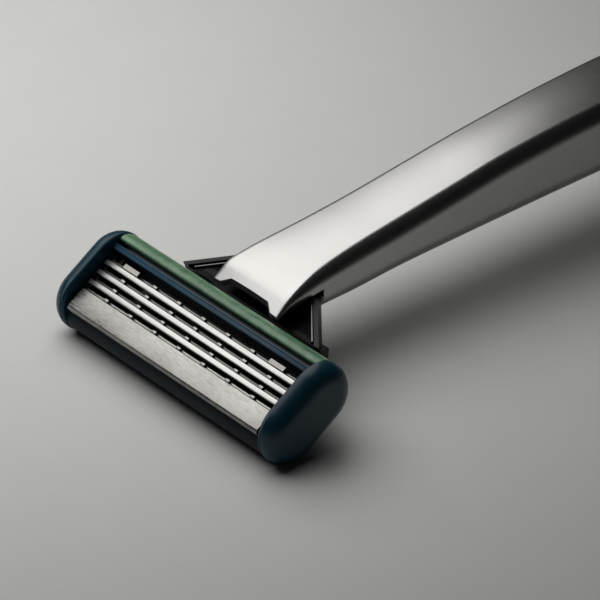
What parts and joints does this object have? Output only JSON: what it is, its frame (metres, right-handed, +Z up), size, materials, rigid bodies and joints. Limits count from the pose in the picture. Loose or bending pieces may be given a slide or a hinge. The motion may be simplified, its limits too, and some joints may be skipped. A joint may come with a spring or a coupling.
{
  "type": "cartridge razor",
  "caption": "Wet-shaving razor with an arched satin metal handle and a snap-off pivoting cartridge of floating blades, with a lubricating strip and soft end caps.",
  "frame": {"origin": "bottom centre of the razor's box, on the surface that it lies on, face up", "axes": "+X along the blades, +Y from the cartridge to the tail, +Z up"},
  "size_m": [0.0412, 0.135, 0.0183],
  "materials": {
    "satin_steel": "satin brushed",
    "black_plastic": "fine satin",
    "dark_steel": "black oxide",
    "spring_steel": "bright drawn",
    "grip_rubber": "matt",
    "weight_zinc": "as cast",
    "button_plastic": "matt",
    "grey_plastic": "matt",
    "yoke_plastic": "semi gloss",
    "polished_wire": "polished",
    "navy_elastomer": "satin elastomer",
    "navy_guard": "satin elastomer",
    "brushed_plate": "brushed along the blades",
    "navy_plastic": "satin",
    "carrier_plastic": "satin",
    "lubricating_polymer": "speckled matt",
    "clip_aluminium": "bright",
    "blade_steel": "ground",
    "support_steel": "dull"
  },
  "bodies": {
    "handle": {"handle_body": "satin_steel", "dock_block": "black_plastic", "dock_screw": "dark_steel", "detent_spring": "spring_steel", "grip_insert": "grip_rubber", "balance_weight": "weight_zinc", "tail_cap": "satin_steel", "ejector_spring": "spring_steel"},
    "release": {"release_button": "button_plastic", "ejector": "grey_plastic"},
    "yoke": {"yoke": "yoke_plastic", "return_wire_left": "polished_wire", "return_wire_right": "polished_wire", "pivot_pin_left": "polished_wire", "pivot_pin_right": "polished_wire"},
    "cartridge": {"cartridge_frame": "black_plastic", "end_cap_left": "navy_elastomer", "end_cap_right": "navy_elastomer", "guard_bar": "navy_guard", "guard_plate": "brushed_plate", "cap_bar": "navy_plastic", "strip_carrier": "carrier_plastic", "lubricating_strip": "lubricating_polymer", "clip_left": "clip_aluminium", "clip_right": "clip_aluminium", "blade_spring_1": "spring_steel", "blade_spring_2": "spring_steel", "blade_spring_3": "spring_steel"},
    "blade_1": {"blade_1": "blade_steel", "blade_support_1": "support_steel"},
    "blade_2": {"blade_2": "blade_steel", "blade_support_2": "support_steel"},
    "blade_3": {"blade_3": "blade_steel", "blade_support_3": "support_steel"}
  },
  "joints": [
    {"name": "release_slide", "type": "slide", "parent": "handle", "child": "release", "axis": [0, -1, 0], "range_m": [0, 0.002], "stiffness_N_per_m": 300, "springref_m": -0.004, "deforming": ["ejector_spring"]},
    {"name": "cartridge_release", "type": "slide", "parent": "handle", "child": "yoke", "axis": [0, -0.9272, -0.3746], "range_m": [0, 0.012], "deforming": ["detent_spring"]},
    {"name": "cartridge_pivot", "type": "hinge", "parent": "yoke", "child": "cartridge", "pos_m": [0, -0.05902, 0.00239], "axis": [1, 0, 0], "range_deg": [0, 35], "stiffness_Nm_per_rad": 0.012, "springref_deg": -20.05},
    {"name": "blade_1_float", "type": "slide", "parent": "cartridge", "child": "blade_1", "axis": [0, 0.549, -0.8358], "range_m": [0, 0.00035], "stiffness_N_per_m": 600, "springref_m": -0.0004, "deforming": ["blade_spring_1"]},
    {"name": "blade_2_float", "type": "slide", "parent": "cartridge", "child": "blade_2", "axis": [0, 0.549, -0.8358], "range_m": [0, 0.00035], "stiffness_N_per_m": 600, "springref_m": -0.0004, "deforming": ["blade_spring_2"]},
    {"name": "blade_3_float", "type": "slide", "parent": "cartridge", "child": "blade_3", "axis": [0, 0.549, -0.8358], "range_m": [0, 0.00035], "stiffness_N_per_m": 600, "springref_m": -0.0004, "deforming": ["blade_spring_3"]}
  ]
}
